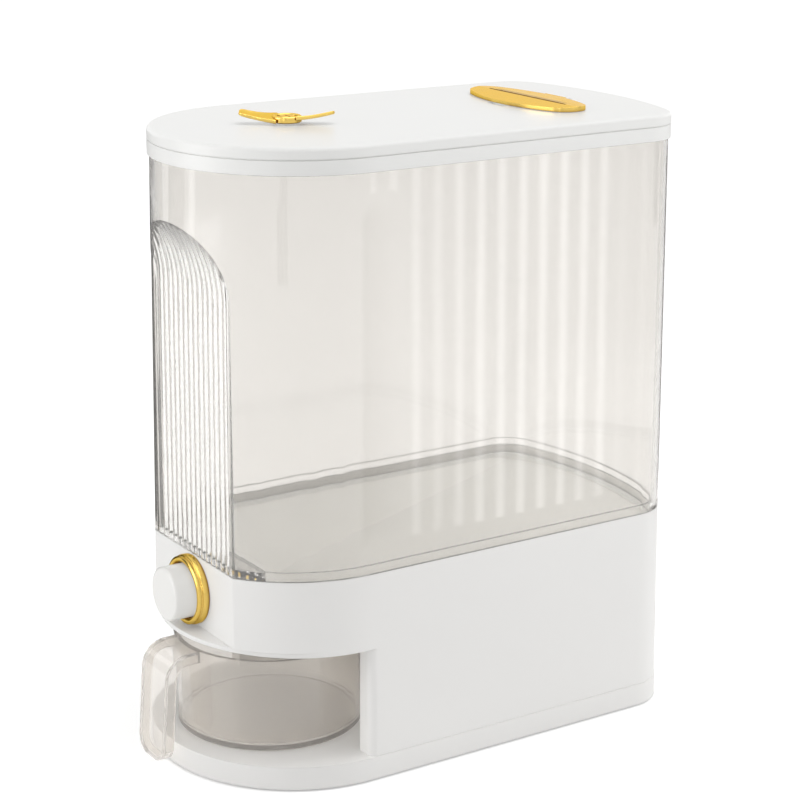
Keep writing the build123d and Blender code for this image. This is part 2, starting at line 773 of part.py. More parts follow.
def lid_inner():
    tray = prism(tray_edge, tray_low, frame_top)
    tray -= prism(tray_edge - tray_wall, tray_low + tray_wall, frame_top + 1)
    for x, y in lid_boss_points:
        tray -= post(x, y, tray_low - 1, tray_low + tray_wall + 1, screw_radius + slide_gap)
    for i in range(vent_count):
        a = math.radians(360 / vent_count * i)
        tray -= post(vent_circle * math.cos(a), knob_y + vent_circle * math.sin(a), tray_low - 1,
                     tray_low + tray_wall + 1, vent_hole_radius)
    tray += post(0, knob_y, tray_low, tray_low + tray_wall, knob_shaft_radius + 2)
    step = well_length * 0.8 / box_slot_count
    for i in range(box_slot_count):
        x = (i - (box_slot_count - 1) / 2) * step
        tray -= block(x - step / 4, x + step / 4, flap_y - well_width / 4, flap_y + well_width / 4,
                      tray_low - 1, tray_low + tray_wall + 1)
    return tray


def lid_screws():
    length = tray_wall + lid_screw_grip
    return [screw(x, y, tray_low - screw_head_height, length, True) for x, y in lid_boss_points]


# Wing knob: ring hub with two blades that rise towards their tips
knob_low = lid_top + knob_lift


def wing_blade(side):
    inner = hub_radius * 0.5
    end = wing_reach - wing_tip_width / 2
    root, tip = wing_root_width / 2, wing_tip_width / 2
    blade = make_face(Polyline((inner, -root), (end, -tip), (end, tip), (inner, root), (inner, -root)))
    blade += Pos(end, 0) * Circle(wing_tip_width / 2)
    plate = extrude(blade, wing_thickness)
    plate = fillet(plate.edges().group_by(Axis.Z)[-1], wing_thickness * 0.35)
    turn = 0 if side > 0 else 180
    return Rot(0, 0, turn) * Pos(0, 0, wing_lift) * Rot(0, -wing_rise, 0) * Rot(-wing_pitch, 0, 0) * plate


def wing_knob():
    hub = Cylinder(hub_radius, hub_height, align=(Align.CENTER, Align.CENTER, Align.MIN))
    hub = fillet(hub.edges().group_by(Axis.Z)[-1], 0.8)
    body = hub + wing_blade(1) + wing_blade(-1)
    body -= Pos(0, 0, hub_height - hub_recess_depth) * Cylinder(
        hub_recess_radius, wing_reach, align=(Align.CENTER, Align.CENTER, Align.MIN))
    body -= Cylinder(knob_shaft_radius * 0.6 + running_gap, wing_reach)
    return Pos(0, knob_y, knob_low) * Rot(0, 0, knob_turn) * body


def knob_screw():
    seat = knob_low + hub_height - hub_recess_depth
    head = post(0, knob_y, seat, seat + 1.0, hub_recess_radius - 1.2)
    shank = post(0, knob_y, knob_low - 4, seat + 0.5, knob_shaft_radius * 0.6)
    slot = Pos(0, knob_y, seat + 1.0) * Box(2 * hub_recess_radius, 0.9, 0.9)
    return head + shank - slot


def knob_shaft():
    low = tray_low + tray_wall + slide_gap
    body = post(0, knob_y, low, knob_low, knob_shaft_radius)
    return body - post(0, knob_y, knob_low - 5, knob_low + 1, knob_shaft_radius * 0.6 + running_gap)


def knob_washer():
    ring = post(0, knob_y, lid_top, lid_top + washer_thickness, hub_radius - 1)
    return ring - post(0, knob_y, lid_top - 1, knob_low + 1, knob_shaft_radius + slide_gap)


def vent_shutter():
    low = tray_low + tray_wall + slide_gap
    disc = post(0, knob_y, low, low + shutter_thickness, shutter_radius)
    for i in range(vent_count):
        a = math.radians(360 / vent_count * (i + 0.5))
        disc -= post(vent_circle * math.cos(a), knob_y + vent_circle * math.sin(a), low - 1,
                     low + shutter_thickness + 1, vent_hole_radius)
    disc += post(0, knob_y, low, low + shutter_thickness + 1.2, knob_shaft_radius + 1.6)
    return disc - post(0, knob_y, low - 1, low + 6, knob_shaft_radius + running_gap)


# Moisture box with its gold flap and hinge pin
def moisture_box():
    flange_low = lid_top - box_flange_thickness
    low = tray_low + tray_wall + seat_gap
    body = oval(well_length - 2 * seat_gap, well_width - 2 * seat_gap, low, lid_top, flap_y)
    body += oval(well_length + 2 * box_flange, well_width + 2 * box_flange, flange_low, lid_top, flap_y)
    body -= oval(well_length - 2 * seat_gap - 2 * box_wall, well_width - 2 * seat_gap - 2 * box_wall,
                 low + box_wall, lid_top + 1, flap_y)
    step = well_length * 0.8 / box_slot_count
    for i in range(box_slot_count):
        x = (i - (box_slot_count - 1) / 2) * step
        body -= block(x - step / 4, x + step / 4, flap_y - well_width / 4, flap_y + well_width / 4,
                      low - 1, low + box_wall + 1)
    return body


def moisture_flap():
    low = lid_top + flap_lift
    half_l, half_w = flap_length / 2, flap_width / 2
    plate = long_oval(low, low + flap_ridge)
    roof = make_face(Polyline((flap_y - half_w - 1, low), (flap_y + half_w + 1, low),
                              (flap_y + half_w + 1, low + flap_edge), (flap_y, low + flap_ridge),
                              (flap_y - half_w - 1, low + flap_edge), (flap_y - half_w - 1, low)))
    roof = Plane.YZ * roof
    plate &= extrude(roof, half_l + 1, both=True)
    plate -= block(-flap_crease_length / 2, flap_crease_length / 2, flap_y - flap_crease_width / 2,
                   flap_y + flap_crease_width / 2, low + flap_ridge - flap_crease_depth, low + flap_ridge + 1)
    knuckle = rod_along_x(0, hinge_knuckle_radius, hinge_knuckle_width)
    arm = block(-hinge_knuckle_width / 2, hinge_knuckle_width / 2, flap_y + half_w * 0.6, hinge_y,
                low, hinge_z + hinge_knuckle_radius * 0.9)
    plate += knuckle + arm
    return plate - rod_along_x(0, hinge_pin_radius + running_gap, body_width / 3)


def hinge_pin():
    length = hinge_knuckle_width + 2 * (hinge_lug_width + seat_gap) - 0.4
    return rod_along_x(0, hinge_pin_radius, length)


# Measuring cup: round clear cup with a channel handle that hangs over the base's front edge
cup_low = base_top + seat_gap
cup_top = cup_low + cup_height


def handle_shape(inset, end_inset):
    top = cup_top - inset
    front = cup_y - cup_rim_radius - handle_reach + inset
    bend = handle_bend - inset
    end = handle_end_height + end_inset
    splay = handle_splay * (top - bend - end) / (cup_top - handle_bend - handle_end_height)
    root = cup_y - cup_rim_radius * 0.5
    back_top = cup_top - handle_thickness
    back_front = cup_y - cup_rim_radius - handle_reach + handle_thickness
    inner_bend = handle_bend - handle_thickness
    corner = 1 - math.sqrt(0.5)
    out_y = front + handle_splay
    in_y = back_front + handle_splay
    edges = [
        Line((root, top), (out_y + bend, top)),
        ThreePointArc((out_y + bend, top), (out_y + bend * corner, top - bend * corner), (out_y, top - bend)),
        Line((out_y, top - bend), (out_y - splay, end)),
        Line((out_y - splay, end), (in_y - splay, end)),
        Line((in_y - splay, end), (in_y, back_top - inner_bend)),
        ThreePointArc((in_y, back_top - inner_bend),
                      (in_y + inner_bend * corner, back_top - inner_bend * corner),
                      (in_y + inner_bend, back_top)),
        Line((in_y + inner_bend, back_top), (root, back_top)),
        Line((root, back_top), (root, top)),
    ]
    return make_face(edges)


def handle_mask(inset):
    half = handle_width / 2 - inset
    low = handle_end_height + inset
    radius = handle_end_radius - inset
    high = cup_top + handle_mask_spare
    shape = Pos(0, (low + high) / 2) * Rectangle(2 * half, high - low)
    shape = fillet(shape.vertices().group_by(Axis.Y)[0], radius)
    face = Plane.XZ * shape
    return extrude(face, side_length + body_width, both=True)


def measuring_cup():
    outer = Pos(0, cup_y, cup_low) * loft(
        [Circle(cup_foot_radius), Pos(0, 0, cup_height) * Circle(cup_rim_radius)])
    outer = fillet(outer.edges().group_by(Axis.Z)[0], cup_edge_radius)
    inner = Pos(0, cup_y, cup_low + cup_wall) * loft(
        [Circle(cup_foot_radius - cup_wall), Pos(0, 0, cup_height) * Circle(cup_rim_radius - cup_wall)])
    inner = fillet(inner.edges().group_by(Axis.Z)[0], cup_edge_radius * 2)
    strap = extrude(Plane.YZ * handle_shape(0, 0), handle_width / 2, both=True) & handle_mask(0)
    channel = extrude(Plane.YZ * handle_shape(handle_skin, handle_skin), handle_width / 2, both=True)
    channel &= handle_mask(handle_skin)
    return outer + (strap - channel) - inner


nodes = {
    "base_plate": base_plate,
    "rubber_feet": rubber_feet,
    "base_screws": base_screws,
    "lower_housing": lower_housing,
    "funnel": funnel,
    "funnel_screws": funnel_screws,
    "hopper_seal": hopper_seal,
    "hopper": hopper,
    "gate_track": gate_track,
    "track_screws": track_screws,
    "outlet_chute": outlet_chute,
    "gate_seal": gate_seal,
    "gate_slide": gate_slide,
    "button_bezel": button_bezel,
    "button_holder": button_holder,
    "button_cap": button_cap,
    "push_rod": push_rod,
    "rod_clip": rod_clip,
    "return_spring": return_spring,
    "lid_frame": lid_frame,
    "lid_gasket": lid_gasket,
    "lid_cover": lid_cover,
    "lid_inner": lid_inner,
    "lid_screws": lid_screws,
    "wing_knob": wing_knob,
    "knob_screw": knob_screw,
    "knob_shaft": knob_shaft,
    "knob_washer": knob_washer,
    "vent_shutter": vent_shutter,
    "moisture_box": moisture_box,
    "moisture_flap": moisture_flap,
    "hinge_pin": hinge_pin,
    "measuring_cup": measuring_cup,
}

for name, make in nodes.items():
    save(make(), name)
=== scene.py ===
"""Looks of a grain dispenser: white moulded body, clear hopper, gold trim, clear measuring cup."""
import json
import math

import bmesh
import bpy
from mathutils import Matrix, Vector


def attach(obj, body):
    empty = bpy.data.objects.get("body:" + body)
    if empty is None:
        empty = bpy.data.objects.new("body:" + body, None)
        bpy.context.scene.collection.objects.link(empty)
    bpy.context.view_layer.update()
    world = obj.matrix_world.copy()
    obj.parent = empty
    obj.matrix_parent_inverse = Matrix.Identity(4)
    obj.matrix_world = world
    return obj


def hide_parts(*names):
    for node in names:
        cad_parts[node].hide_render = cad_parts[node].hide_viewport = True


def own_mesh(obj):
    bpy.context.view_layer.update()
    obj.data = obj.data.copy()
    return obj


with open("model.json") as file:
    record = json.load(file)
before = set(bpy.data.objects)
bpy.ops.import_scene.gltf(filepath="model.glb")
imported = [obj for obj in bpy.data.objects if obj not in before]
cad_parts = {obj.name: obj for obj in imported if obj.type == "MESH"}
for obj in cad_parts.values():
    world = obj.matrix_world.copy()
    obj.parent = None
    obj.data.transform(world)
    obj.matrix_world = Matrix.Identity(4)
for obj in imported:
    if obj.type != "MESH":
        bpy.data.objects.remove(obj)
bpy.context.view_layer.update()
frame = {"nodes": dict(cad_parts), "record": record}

bl_info = {
    "name": "Grain Dispenser",
    "version": (1, 0, 0),
    "blender": (4, 5, 0),
    "location": "View3D > Sidebar > Dispenser",
    "description": "Builds the pieces and finishes of a push-button grain dispenser on its packed model",
    "category": "Object",
}

MM = 0.001
WHITE = (1.0, 1.0, 1.0, 1.0)


# Hex colours are sRGB; shader sockets and colour properties hold linear values
def linear(text):
    values = [int(text[i:i + 2], 16) / 255 for i in (1, 3, 5)]
    return [v / 12.92 if v <= 0.04045 else ((v + 0.055) / 1.055) ** 2.4 for v in values]


def colour_property(name, description, text):
    return bpy.props.FloatVectorProperty(
        name=name, description=description, subtype="COLOR", size=3, min=0.0, max=1.0, default=linear(text))


def length_property(name, description, millimetres):
    return bpy.props.FloatProperty(
        name=name, description=description, default=millimetres * MM, min=0.0, max=0.05,
        precision=4, subtype="DISTANCE", unit="LENGTH")


def light_property(name, description, strength, highest):
    return bpy.props.FloatProperty(
        name=name, description=description, default=strength, min=0.0, max=highest)


class DispenserSizes(bpy.types.PropertyGroup):
    """Edge radii and surface scales of the moulded pieces"""

    body_edge: length_property("Body edge", "Rounding of the white shell's moulded edges", 0.7)
    lid_edge: length_property("Lid edge", "Rounding of the lid layers' edges", 0.5)
    clear_edge: length_property("Clear edge", "Rounding of the clear hopper's and cup's edges", 0.5)
    trim_edge: length_property("Trim edge", "Rounding of the gold pieces' edges", 0.35)
    satin_grain: length_property("Satin grain", "Size of the spark-eroded grain on the white shell", 0.6)
    flow_wave: length_property("Flow wave", "Distance between the soft waves in the clear walls", 30.0)


class DispenserColours(bpy.types.PropertyGroup):
    """Base colours of the finishes"""

    shell: colour_property("Shell", "White ABS of the base and housing", "#F3F2F0")
    lid: colour_property("Lid", "White ABS of the lid", "#F4F4F2")
    cap: colour_property("Button cap", "White ABS of the push button", "#F3F2EF")
    inner: colour_property("Inner parts", "Natural white polypropylene inside", "#E9E8E4")
    clear: colour_property("Hopper tint", "Faint grey tint of the clear walls", "#F1EFEC")
    clear_cup: colour_property("Cup tint", "Faint warm tint of the measuring cup", "#F6F2ED")
    gold: colour_property("Gold", "Vacuum-plated gold trim", "#F4D070")
    steel: colour_property("Steel", "Stainless screws and spring", "#B9BBBD")
    feet: colour_property("Feet", "Grey silicone of the feet", "#8B8C8E")
    milky: colour_property("Seals", "Milky silicone of the seals", "#E4E4E1")


class DispenserStudio(bpy.types.PropertyGroup):
    """Light and floor of the studio"""

    sky: light_property("Sky", "Strength of the even white light", 0.45, 2.0)
    sun: light_property("Overhead", "Strength of the soft overhead lamp", 1.38, 5.0)
    front: light_property("Front lamp", "Power of the soft box in front of the button", 8.0, 100.0)
    back: light_property("Back lamp", "Power of the soft box at the back right", 1.6, 100.0)
    floor: colour_property("Floor", "Pale floor", "#F4F4F4")


# Adds a node with its settings and links. A key is a socket's name or number, or the name of one of the
# node's properties, and stops are a ramp's (place, colour) pairs
def add_node(tree, kind, settings=None, links=None, stops=()):
    node = tree.nodes.new(kind)
    for key, value in (settings or {}).items():
        if isinstance(key, int) or key in node.inputs:
            node.inputs[key].default_value = value
        else:
            setattr(node, key, value)
    for key, source in (links or {}).items():
        tree.links.new(source, node.inputs[key])
    for i, (place, colour) in enumerate(stops):
        stop = node.color_ramp.elements[i] if i < 2 else node.color_ramp.elements.new(place)
        stop.position = place
        stop.color = (*colour, 1.0)
    return node


def new_material(name):
    material = bpy.data.materials.new(name)
    material.use_nodes = True
    material.node_tree.nodes.clear()
    return material, material.node_tree


def finish_material(tree, shader):
    add_node(tree, "ShaderNodeOutputMaterial", links={"Surface": shader.outputs[0]})


# Soft patches at a real spacing on a piece; stretch is how many more of them lie along each axis
def patches(tree, spacing, detail, stretch=None):
    place = add_node(tree, "ShaderNodeTexCoord").outputs["Object"]
    if stretch:
        place = add_node(tree, "ShaderNodeMapping", {"Scale": stretch}, {"Vector": place}).outputs["Vector"]
    settings = {"Scale": 1.0 / spacing, "Detail": detail, "Roughness": 0.5}
    return add_node(tree, "ShaderNodeTexNoise", settings, {"Vector": place}).outputs["Fac"]


# Settings that spread patches, whose values seldom leave 0.3 to 0.7, over a range
def spread(low, high):
    return {"From Min": 0.3, "From Max": 0.7, "To Min": low, "To Max": high}


# Colour and roughness that change together with the same patches: darker and smoother where these are low
def varied(tree, pattern, colour, darkest, smooth, rough):
    dark = [c * darkest for c in colour]
    stops = ((0.25, dark), (0.75, colour))
    shade = add_node(tree, "ShaderNodeValToRGB", links={"Fac": pattern}, stops=stops)
    gloss = add_node(tree, "ShaderNodeMapRange", spread(smooth, rough), {"Value": pattern})
    return {"Base Color": shade.outputs["Color"], "Roughness": gloss.outputs["Result"]}


# Relief from a pattern, on a surface whose moulded corners have a small radius, on which the light catches
def relief(tree, pattern, strength, depth, corner=None):
    links = {"Height": pattern}
    if corner is not None:
        rounding = add_node(tree, "ShaderNodeBevel", {"samples": 6, "Radius": corner})
        links["Normal"] = rounding.outputs["Normal"]
    bumps = add_node(tree, "ShaderNodeBump", {"Strength": strength, "Distance": depth}, links)
    return bumps.outputs["Normal"]


# 1 up to a near distance from a line across one axis, fading softly to 0 at a far distance
def band(tree, axis, centre, near, far):
    place = add_node(tree, "ShaderNodeTexCoord").outputs["Object"]
    place = add_node(tree, "ShaderNodeSeparateXYZ", links={"Vector": place}).outputs[axis]
    shift = add_node(tree, "ShaderNodeMath", {"operation": "SUBTRACT", 1: centre}, {0: place}).outputs[0]
    distance = add_node(tree, "ShaderNodeMath", {"operation": "ABSOLUTE"}, {0: shift}).outputs[0]
    fade = {"interpolation_type": "SMOOTHSTEP", "From Min": near, "From Max": far, "To Min": 1.0,
            "To Max": 0.0}
    return add_node(tree, "ShaderNodeMapRange", fade, {"Value": distance}).outputs["Result"]


# A patch that is 1 where a band across X and a band across Y meet
def crossing(tree, band_x, band_y):
    links = {0: band(tree, "X", *band_x), 1: band(tree, "Y", *band_y)}
    return add_node(tree, "ShaderNodeMath", {"operation": "MULTIPLY"}, links).outputs[0]


# ABS injection moulded in a spark-eroded tool: an even satin skin whose gloss changes faintly with the
# melt's flow. The real grain is near 0.1 mm and is drawn coarser, so that it shows
def satin_abs(name, colour, grain, corner):
    material, tree = new_material(name)
    flow = patches(tree, 55 * MM, detail=1.5)
    grains = patches(tree, grain, detail=3.0)
    links = varied(tree, flow, colour, darkest=0.985, smooth=0.30, rough=0.39)
    links["Normal"] = relief(tree, grains, strength=0.10, depth=0.05 * MM, corner=corner)
    finish_material(tree, add_node(tree, "ShaderNodeBsdfPrincipled", {"IOR": 1.54}, links))
    return material


# ABS moulded in a polished tool: glossy, with the slight orange peel that a thick wall leaves
def polished_abs(name, colour, corner):
    material, tree = new_material(name)
    handled = patches(tree, 24 * MM, detail=3.0)
    peel = patches(tree, 7 * MM, detail=1.0)
    links = varied(tree, handled, colour, darkest=0.985, smooth=0.13, rough=0.22)
    links["Normal"] = relief(tree, peel, strength=0.12, depth=0.12 * MM, corner=corner)
    finish_material(tree, add_node(tree, "ShaderNodeBsdfPrincipled", {"IOR": 1.54}, links))
    return material


# Styrene moulded clear in a polished tool: high index, faint grey cast and haze, soft waves along the flow
def clear_styrene(name, tint, wave, clarity):
    material, tree = new_material(name)
    waves = patches(tree, wave, detail=1.0, stretch=(1.0, 1.0, 0.35))
    rubbed = patches(tree, 14 * MM, detail=4.0)
    gloss = add_node(tree, "ShaderNodeMapRange", spread(0.015, 0.048), {"Value": rubbed})
    settings = {"Base Color": (*tint, 1.0), "IOR": 1.57, "Transmission Weight": clarity}
    links = {"Roughness": gloss.outputs["Result"],
             "Normal": relief(tree, waves, strength=0.08, depth=0.3 * MM)}
    finish_material(tree, add_node(tree, "ShaderNodeBsdfPrincipled", settings, links))
    return material


# Vacuum-plated gold over polished ABS: a mirror skin that is a little softer where hands rub it. Corners and
# the undersides of edges are darkened to brown by an ambient occlusion node: painted shade. On a creased
# plate a brown painted shade lies along the crease too, where the bands across X and Y given for the crease
# meet
def plated_gold(name, colour, corner, crease_shade_bands=None):
    material, tree = new_material(name)
    rubbed = patches(tree, 5 * MM, detail=5.0)
    ripple = patches(tree, 9 * MM, detail=1.0)
    links = varied(tree, rubbed, colour, darkest=0.93, smooth=0.11, rough=0.24)
    # Painted shade: the gold turns brown where the ambient occlusion finds corners and near surfaces
    open_sky = add_node(tree, "ShaderNodeAmbientOcclusion", {"samples": 8, "Distance": 2.2 * MM})
    stops = ((0.35, linear("#8A5A1E")), (0.93, linear("#FFFFFF")))
    painted_corner_shade = add_node(tree, "ShaderNodeValToRGB", links={"Fac": open_sky.outputs["AO"]}, stops=stops)
    gold_with_painted_shade = add_node(tree, "ShaderNodeMixRGB", {"blend_type": "MULTIPLY", "Fac": 1.0},
                      {"Color1": links["Base Color"], "Color2": painted_corner_shade.outputs["Color"]})
    # Painted shade: brown along the crease, where the two bands meet
    if crease_shade_bands:
        gold_with_painted_shade = add_node(tree, "ShaderNodeMixRGB", {"Color2": (*linear("#99702F"), 1.0)},
                          {"Fac": crossing(tree, *crease_shade_bands), "Color1": gold_with_painted_shade.outputs["Color"]})
    links["Base Color"] = gold_with_painted_shade.outputs["Color"]
    links["Normal"] = relief(tree, ripple, strength=0.15, depth=0.1 * MM, corner=corner)
    settings = {"Metallic": 1.0, "Specular Tint": (*linear("#FBE4A6"), 1.0)}
    finish_material(tree, add_node(tree, "ShaderNodeBsdfPrincipled", settings, links))
    return material


# Polypropylene moulded natural white: waxy, slightly translucent, duller than the shell. The real grain is
# under 0.1 mm and is drawn at 0.9 mm, so that it shows
def waxy_polypropylene(name, colour):
    material, tree = new_material(name)
    haze = patches(tree, 18 * MM, detail=3.0)
    grains = patches(tree, 0.9 * MM, detail=2.0)
    links = varied(tree, haze, colour, darkest=0.96, smooth=0.42, rough=0.52)
    links["Normal"] = relief(tree, grains, strength=0.12, depth=0.05 * MM)
    settings = {"IOR": 1.49, "Subsurface Weight": 0.08, "Subsurface Radius": (0.9, 0.9, 0.8),
                "Subsurface Scale": 1.2 * MM}
    finish_material(tree, add_node(tree, "ShaderNodeBsdfPrincipled", settings, links))
    return material


# Stainless steel, cold headed and drawn: fine lines round the upright screws, 0.05 mm apart
def drawn_stainless(name, colour):
    material, tree = new_material(name)
    lines = patches(tree, 0.4 * MM, detail=3.0, stretch=(1.0, 1.0, 8.0))
    links = varied(tree, lines, colour, darkest=0.88, smooth=0.20, rough=0.34)
    links["Normal"] = relief(tree, lines, strength=0.1, depth=0.02 * MM)
    finish_material(tree, add_node(tree, "ShaderNodeBsdfPrincipled", {"Metallic": 1.0}, links))
    return material


# Silicone rubber, compression moulded: dull skin that holds a little dust
def moulded_silicone(name, colour):
    material, tree = new_material(name)
    dust = patches(tree, 3 * MM, detail=5.0)
    links = varied(tree, dust, colour, darkest=0.9, smooth=0.60, rough=0.75)
    links["Normal"] = relief(tree, dust, strength=0.15, depth=0.05 * MM)
    settings = {"IOR": 1.41, "Sheen Weight": 0.15, "Sheen Roughness": 0.5}
    finish_material(tree, add_node(tree, "ShaderNodeBsdfPrincipled", settings, links))
    return material


# The finish of a slot of the record, made when it is first asked for
def finish_for(slot):
    sizes, colours = bpy.context.scene.dispenser_sizes, bpy.context.scene.dispenser_colours
    grain, wave = sizes.satin_grain, sizes.flow_wave
    finishes = {
        "body_white": ("satin_moulded_abs_body", satin_abs, colours.shell[:], grain, sizes.body_edge),
        "lid_white": ("satin_moulded_abs_lid", satin_abs, colours.lid[:], grain, sizes.lid_edge),
        "button_white": ("polished_moulded_abs_button", polished_abs, colours.cap[:], sizes.body_edge),
        "inner_white": ("waxy_moulded_polypropylene", waxy_polypropylene, colours.inner[:]),
        "clear_hopper": ("clear_moulded_styrene_hopper", clear_styrene, colours.clear[:], wave, 0.93),
        "clear_cup": ("clear_moulded_styrene_cup", clear_styrene, colours.clear_cup[:], wave * 0.6, 0.80),
        "gold": ("vacuum_plated_gold", plated_gold, colours.gold[:], sizes.trim_edge),
        "steel": ("drawn_stainless_steel", drawn_stainless, colours.steel[:]),
        "rubber_grey": ("compression_moulded_grey_silicone", moulded_silicone, colours.feet[:]),
        "seal_white": ("compression_moulded_milky_silicone", moulded_silicone, colours.milky[:]),
    }
    name, maker, *values = finishes[slot]
    return bpy.data.materials.get(name) or maker(name, *values)


def select_only(*pieces):
    bpy.ops.object.select_all(action="DESELECT")
    for piece in pieces:
        piece.select_set(True)
    bpy.context.view_layer.objects.active = pieces[0]


def paint(piece, material):
    piece.data.materials.clear()
    piece.data.materials.append(material)


def slot_of(node):
    for part in frame["record"]["subparts"]:
        if part["node"] == node:
            return part["material_slot"]
    raise RuntimeError("no material slot for " + node)


# CAD nodes whose shape is right keep their mesh and take the finish of their slot
def finish_nodes(*nodes):
    for node in nodes:
        piece = frame["nodes"][node]
        material = finish_for(slot_of(node))
        for holder in piece.material_slots:
            holder.material = material
        if not piece.material_slots:
            piece.data.materials.append(material)


# Puts a new piece in the place of a CAD node
def take_over(piece, node, body):
    slot = slot_of(node)
    paint(piece, finish_for(slot))
    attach(piece, body)
    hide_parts(node)


def smooth_faces(piece, degrees):
    select_only(piece)
    bpy.ops.object.shade_smooth_by_angle(angle=math.radians(degrees))


def apply_modifier(piece, name, kind, settings):
    select_only(piece)
    modifier = piece.modifiers.new(name, kind)
    for key, value in settings.items():
        setattr(modifier, key, value)
    bpy.ops.object.modifier_apply(modifier=name)


# Angles between faces, in degrees: flatter joins are dissolved, sharper edges are rounded, and edges up to
# the smooth angle are shaded smooth
FLAT_JOIN = 0.3
SHARP_EDGE = 40.0
SMOOTH_COPY = 32.0
SMOOTH_NEW = 35.0


# Copies a CAD node, joins its loose triangles into clean faces and rounds its sharp edges
def rounded_copy(node, name, body, edge):
    piece = bpy.data.objects.new(name, frame["nodes"][node].data.copy())
    bpy.context.scene.collection.objects.link(piece)
    select_only(piece)
    bpy.ops.object.mode_set(mode="EDIT")
    bpy.ops.mesh.select_all(action="SELECT")
    bpy.ops.mesh.customdata_custom_splitnormals_clear()
    bpy.ops.mesh.remove_doubles(threshold=0.002 * MM)
    bpy.ops.mesh.dissolve_limited(angle_limit=math.radians(FLAT_JOIN))
    bpy.ops.object.mode_set(mode="OBJECT")
    if edge > 0:
        apply_modifier(piece, "edge_rounding", "BEVEL", {
            "width": edge, "segments": 3, "limit_method": "ANGLE", "angle_limit": math.radians(SHARP_EDGE),
            "miter_outer": "MITER_ARC"})
    smooth_faces(piece, SMOOTH_COPY)
    apply_modifier(piece, "face_weights", "WEIGHTED_NORMAL", {"keep_sharp": True, "weight": 60})
    take_over(piece, node, body)
    return piece


# Starts a piece as one point, from which edges are extruded
def start_point(name, place):
    bpy.ops.object.select_all(action="DESELECT")
    bpy.ops.mesh.primitive_plane_add(size=MM, location=(0.0, 0.0, 0.0))
    piece = bpy.context.object
    piece.name = name
    bpy.ops.object.mode_set(mode="EDIT")
    bpy.ops.mesh.select_all(action="SELECT")
    bpy.ops.mesh.merge(type="CENTER")
    bpy.ops.transform.translate(value=place)
    return piece


# Turns a closed outline of (radius, height) points, in millimetres, round an axis
def turned_ring(name, outline, centre, axis, steps):
    axis = Vector(axis)
    radial = Vector((1.0, 0.0, 0.0))
    points = [Vector(centre) + (radial * radius + axis * height) * MM for radius, height in outline]
    piece = start_point(name, points[0])
    for here, there in zip(points, points[1:] + points[:1]):
        bpy.ops.mesh.extrude_region_move(TRANSFORM_OT_translate={"value": there - here})
    bpy.ops.mesh.select_all(action="SELECT")
    bpy.ops.mesh.spin(steps=steps, angle=2 * math.pi, center=centre, axis=axis)
    bpy.ops.mesh.select_all(action="SELECT")
    bpy.ops.mesh.remove_doubles(threshold=0.01 * MM)
    bpy.ops.mesh.normals_make_consistent(inside=False)
    bpy.ops.object.mode_set(mode="OBJECT")
    return piece


# Points along an arc, whose ends are angles in degrees
def round_points(centre, radius, start, end, count):
    angles = [math.radians(start + (end - start) * i / (count - 1)) for i in range(count)]
    return [(centre[0] + radius * math.cos(a), centre[1] + radius * math.sin(a)) for a in angles]


# The lowest and the highest corner of a CAD node's box
def node_box(node):
    corners = [vertex.co for vertex in frame["nodes"][node].data.vertices]
    low = Vector([min(c[i] for c in corners) for i in range(3)])
    high = Vector([max(c[i] for c in corners) for i in range(3)])
    return low, high


class DISPENSER_OT_base(bpy.types.Operator):
    """Base plate with its feet and screws"""

    bl_idname = "dispenser.base"
    bl_label = "Base plate"

    def execute(self, context):
        finish_nodes("base_plate", "rubber_feet", "base_screws")
        return {"FINISHED"}


class DISPENSER_OT_housing(bpy.types.Operator):
    """Lower housing with the open cup bay and the button nose"""

    bl_idname = "dispenser.housing"
    bl_label = "Lower housing"

    def execute(self, context):
        finish_nodes("lower_housing")
        return {"FINISHED"}


class DISPENSER_OT_funnel(bpy.types.Operator):
    """Funnel under the hopper with its seal and screws"""

    bl_idname = "dispenser.funnel"
    bl_label = "Funnel"

    def execute(self, context):
        finish_nodes("funnel", "funnel_screws", "hopper_seal")
        return {"FINISHED"}


class DISPENSER_OT_hopper(bpy.types.Operator):
    """Clear hopper with its fluted front"""

    bl_idname = "dispenser.hopper"
    bl_label = "Hopper"

    # Clear walls cast no shadow, so that what stands behind them stays as bright as through real ones
    def execute(self, context):
        shell = rounded_copy("hopper", "hopper_shell", "base", context.scene.dispenser_sizes.clear_edge)
        shell.visible_shadow = False
        return {"FINISHED"}


class DISPENSER_OT_gate(bpy.types.Operator):
    """Gate slide, its track, seal and chute"""

    bl_idname = "dispenser.gate"
    bl_label = "Gate"

    def execute(self, context):
        finish_nodes("gate_track", "track_screws", "outlet_chute", "gate_seal", "gate_slide")
        return {"FINISHED"}


